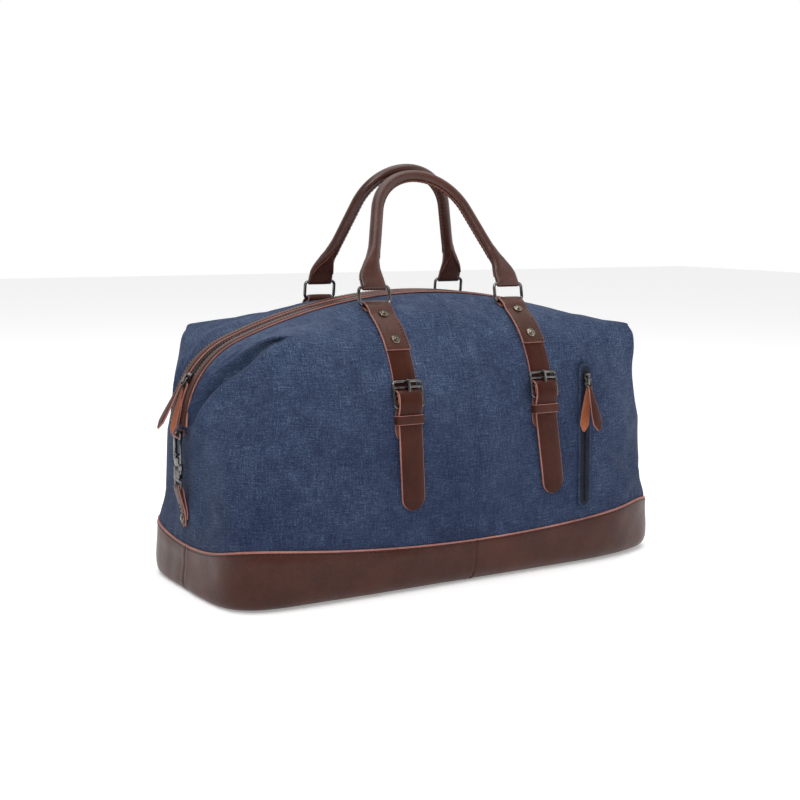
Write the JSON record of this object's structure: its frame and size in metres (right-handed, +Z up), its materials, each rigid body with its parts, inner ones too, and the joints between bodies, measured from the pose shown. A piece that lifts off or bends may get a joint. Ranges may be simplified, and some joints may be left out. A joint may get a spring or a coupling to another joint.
{
  "type": "weekender bag",
  "caption": "Soft canvas weekender bag with a leather base, rolled leather handles on metal rings, buckled front straps, an arched top zip and snap hooks at its ends.",
  "frame": {"origin": "centre of the flat underside, where the bag rests", "axes": "+X along the bag's length to the right of the front, -Y out of the front with the buckled straps, +Z up"},
  "size_m": [0.5636, 0.2585, 0.4226],
  "materials": {
    "canvas": "washed cotton canvas, navy",
    "lining": "plain polyester lining",
    "board": "matte stiffener board",
    "leather": "smooth brown leather, semi-gloss",
    "gunmetal": "polished gunmetal plate",
    "rivet": "antique brass",
    "zip_metal": "dark antique zip teeth",
    "zip_tape": "woven polyester tape",
    "coil": "nylon coil"
  },
  "bodies": {
    "bag": {"bottom_panel": "leather", "base_board": "board", "band_front_left": "leather", "band_front_right": "leather", "band_back_left": "leather", "band_back_right": "leather", "canvas_front_left": "canvas", "canvas_front_right": "canvas", "canvas_back_left": "canvas", "canvas_back_right": "canvas", "lining": "lining", "front_pocket_bag": "lining", "inner_pocket": "lining", "zip_tape_front": "zip_tape", "zip_tape_back": "zip_tape", "zip_trim_front": "leather", "zip_trim_back": "leather", "zip_chain": "zip_metal", "end_tab_left": "leather", "end_tab_right": "leather", "ring_tabs_front": "leather", "ring_tabs_back": "leather", "strap_left": "leather", "strap_right": "leather", "billets": "leather", "keepers": "leather", "tab_rivets": "rivet", "back_straps": "leather", "anchor_tabs": "leather", "anchor_rivets": "rivet", "pocket_tape": "zip_tape", "pocket_chain": "coil"},
    "ring_front_left": {"ring_front_left": "gunmetal"},
    "ring_front_right": {"ring_front_right": "gunmetal"},
    "handle_front": {"handle_front_grip": "leather", "handle_front_ends": "leather"},
    "ring_back_left": {"ring_back_left": "gunmetal"},
    "ring_back_right": {"ring_back_right": "gunmetal"},
    "handle_back": {"handle_back_grip": "leather", "handle_back_ends": "leather"},
    "zip_slider": {"zip_slider": "gunmetal"},
    "zip_pull": {"zip_pull_link": "gunmetal", "zip_pull_leather": "leather"},
    "pocket_slider": {"pocket_slider": "gunmetal"},
    "pocket_pull": {"pocket_pull_link": "gunmetal", "pocket_pull_leather": "leather"},
    "buckle_left": {"buckle_left": "gunmetal"},
    "prong_left": {"prong_left": "gunmetal"},
    "buckle_right": {"buckle_right": "gunmetal"},
    "prong_right": {"prong_right": "gunmetal"},
    "snap_eye_left": {"snap_eye_left": "gunmetal"},
    "snap_hook_left": {"snap_hook_left": "gunmetal"},
    "snap_bolt_left": {"snap_bolt_left": "gunmetal"},
    "snap_eye_right": {"snap_eye_right": "gunmetal"},
    "snap_hook_right": {"snap_hook_right": "gunmetal"},
    "snap_bolt_right": {"snap_bolt_right": "gunmetal"}
  },
  "joints": [
    {"name": "ring_front_left_swing", "type": "hinge", "parent": "bag", "child": "ring_front_left", "pos_m": [-0.082, -0.05881, 0.28034], "axis": [1, 0, 0], "range_deg": [0, 75]},
    {"name": "ring_front_right_swing", "type": "hinge", "parent": "bag", "child": "ring_front_right", "pos_m": [0.082, -0.05881, 0.28034], "axis": [1, 0, 0], "range_deg": [0, 75]},
    {"name": "handle_front_swing", "type": "hinge", "parent": "ring_front_left", "child": "handle_front", "pos_m": [0, -0.05568, 0.29807], "axis": [1, 0, 0], "range_deg": [0, 85]},
    {"name": "ring_back_left_swing", "type": "hinge", "parent": "bag", "child": "ring_back_left", "pos_m": [-0.082, 0.05881, 0.28034], "axis": [-1, 0, 0], "range_deg": [0, 75]},
    {"name": "ring_back_right_swing", "type": "hinge", "parent": "bag", "child": "ring_back_right", "pos_m": [0.082, 0.05881, 0.28034], "axis": [-1, 0, 0], "range_deg": [0, 75]},
    {"name": "handle_back_swing", "type": "hinge", "parent": "ring_back_left", "child": "handle_back", "pos_m": [0, 0.05693, 0.29824], "axis": [-1, 0, 0], "range_deg": [0, 80]},
    {"name": "zip_slider_run", "type": "hinge", "parent": "bag", "child": "zip_slider", "pos_m": [-0.18, 0, 0.166], "axis": [0, 1, 0], "range_deg": [0, 33]},
    {"name": "zip_pull_swing", "type": "hinge", "parent": "zip_slider", "child": "zip_pull", "pos_m": [-0.26016, 0, 0.21043], "axis": [0, 1, 0], "range_deg": [0, 140]},
    {"name": "pocket_slider_run", "type": "slide", "parent": "bag", "child": "pocket_slider", "axis": [0, -0.0223, -0.9998], "range_m": [0, 0.118]},
    {"name": "pocket_pull_swing", "type": "hinge", "parent": "pocket_slider", "child": "pocket_pull", "pos_m": [0.137, -0.12641, 0.20015], "axis": [-1, 0, 0], "range_deg": [0, 120]},
    {"name": "buckle_left_rock", "type": "hinge", "parent": "bag", "child": "buckle_left", "pos_m": [-0.082, -0.12259, 0.19552], "axis": [1, 0, 0], "range_deg": [0, 4]},
    {"name": "prong_left_lift", "type": "hinge", "parent": "buckle_left", "child": "prong_left", "pos_m": [-0.082, -0.12259, 0.19552], "axis": [1, 0, 0], "range_deg": [0, 80]},
    {"name": "buckle_right_rock", "type": "hinge", "parent": "bag", "child": "buckle_right", "pos_m": [0.082, -0.12259, 0.19552], "axis": [1, 0, 0], "range_deg": [0, 4]},
    {"name": "prong_right_lift", "type": "hinge", "parent": "buckle_right", "child": "prong_right", "pos_m": [0.082, -0.12259, 0.19552], "axis": [1, 0, 0], "range_deg": [0, 80]},
    {"name": "snap_eye_left_swing", "type": "hinge", "parent": "bag", "child": "snap_eye_left", "pos_m": [-0.2685, 0, 0.1045], "axis": [0, 1, 0], "range_deg": [-1, 1]},
    {"name": "snap_left_swivel", "type": "hinge", "parent": "snap_eye_left", "child": "snap_hook_left", "pos_m": [-0.2685, 0, 0.113], "axis": [0, 0, 1], "range_deg": [-15, 15]},
    {"name": "snap_bolt_left_press", "type": "slide", "parent": "snap_hook_left", "child": "snap_bolt_left", "axis": [0, 0, -1], "range_m": [0, 0.005], "stiffness_N_per_m": 200},
    {"name": "snap_eye_right_swing", "type": "hinge", "parent": "bag", "child": "snap_eye_right", "pos_m": [0.2685, 0, 0.1045], "axis": [0, 1, 0], "range_deg": [-1, 1]},
    {"name": "snap_right_swivel", "type": "hinge", "parent": "snap_eye_right", "child": "snap_hook_right", "pos_m": [0.2685, 0, 0.113], "axis": [0, 0, 1], "range_deg": [-15, 15]},
    {"name": "snap_bolt_right_press", "type": "slide", "parent": "snap_hook_right", "child": "snap_bolt_right", "axis": [0, 0, -1], "range_m": [0, 0.005], "stiffness_N_per_m": 200}
  ],
  "couplings": [
    {"joint": "ring_front_right_swing", "follows": "ring_front_left_swing", "ratio": 1},
    {"joint": "ring_back_right_swing", "follows": "ring_back_left_swing", "ratio": 1}
  ]
}
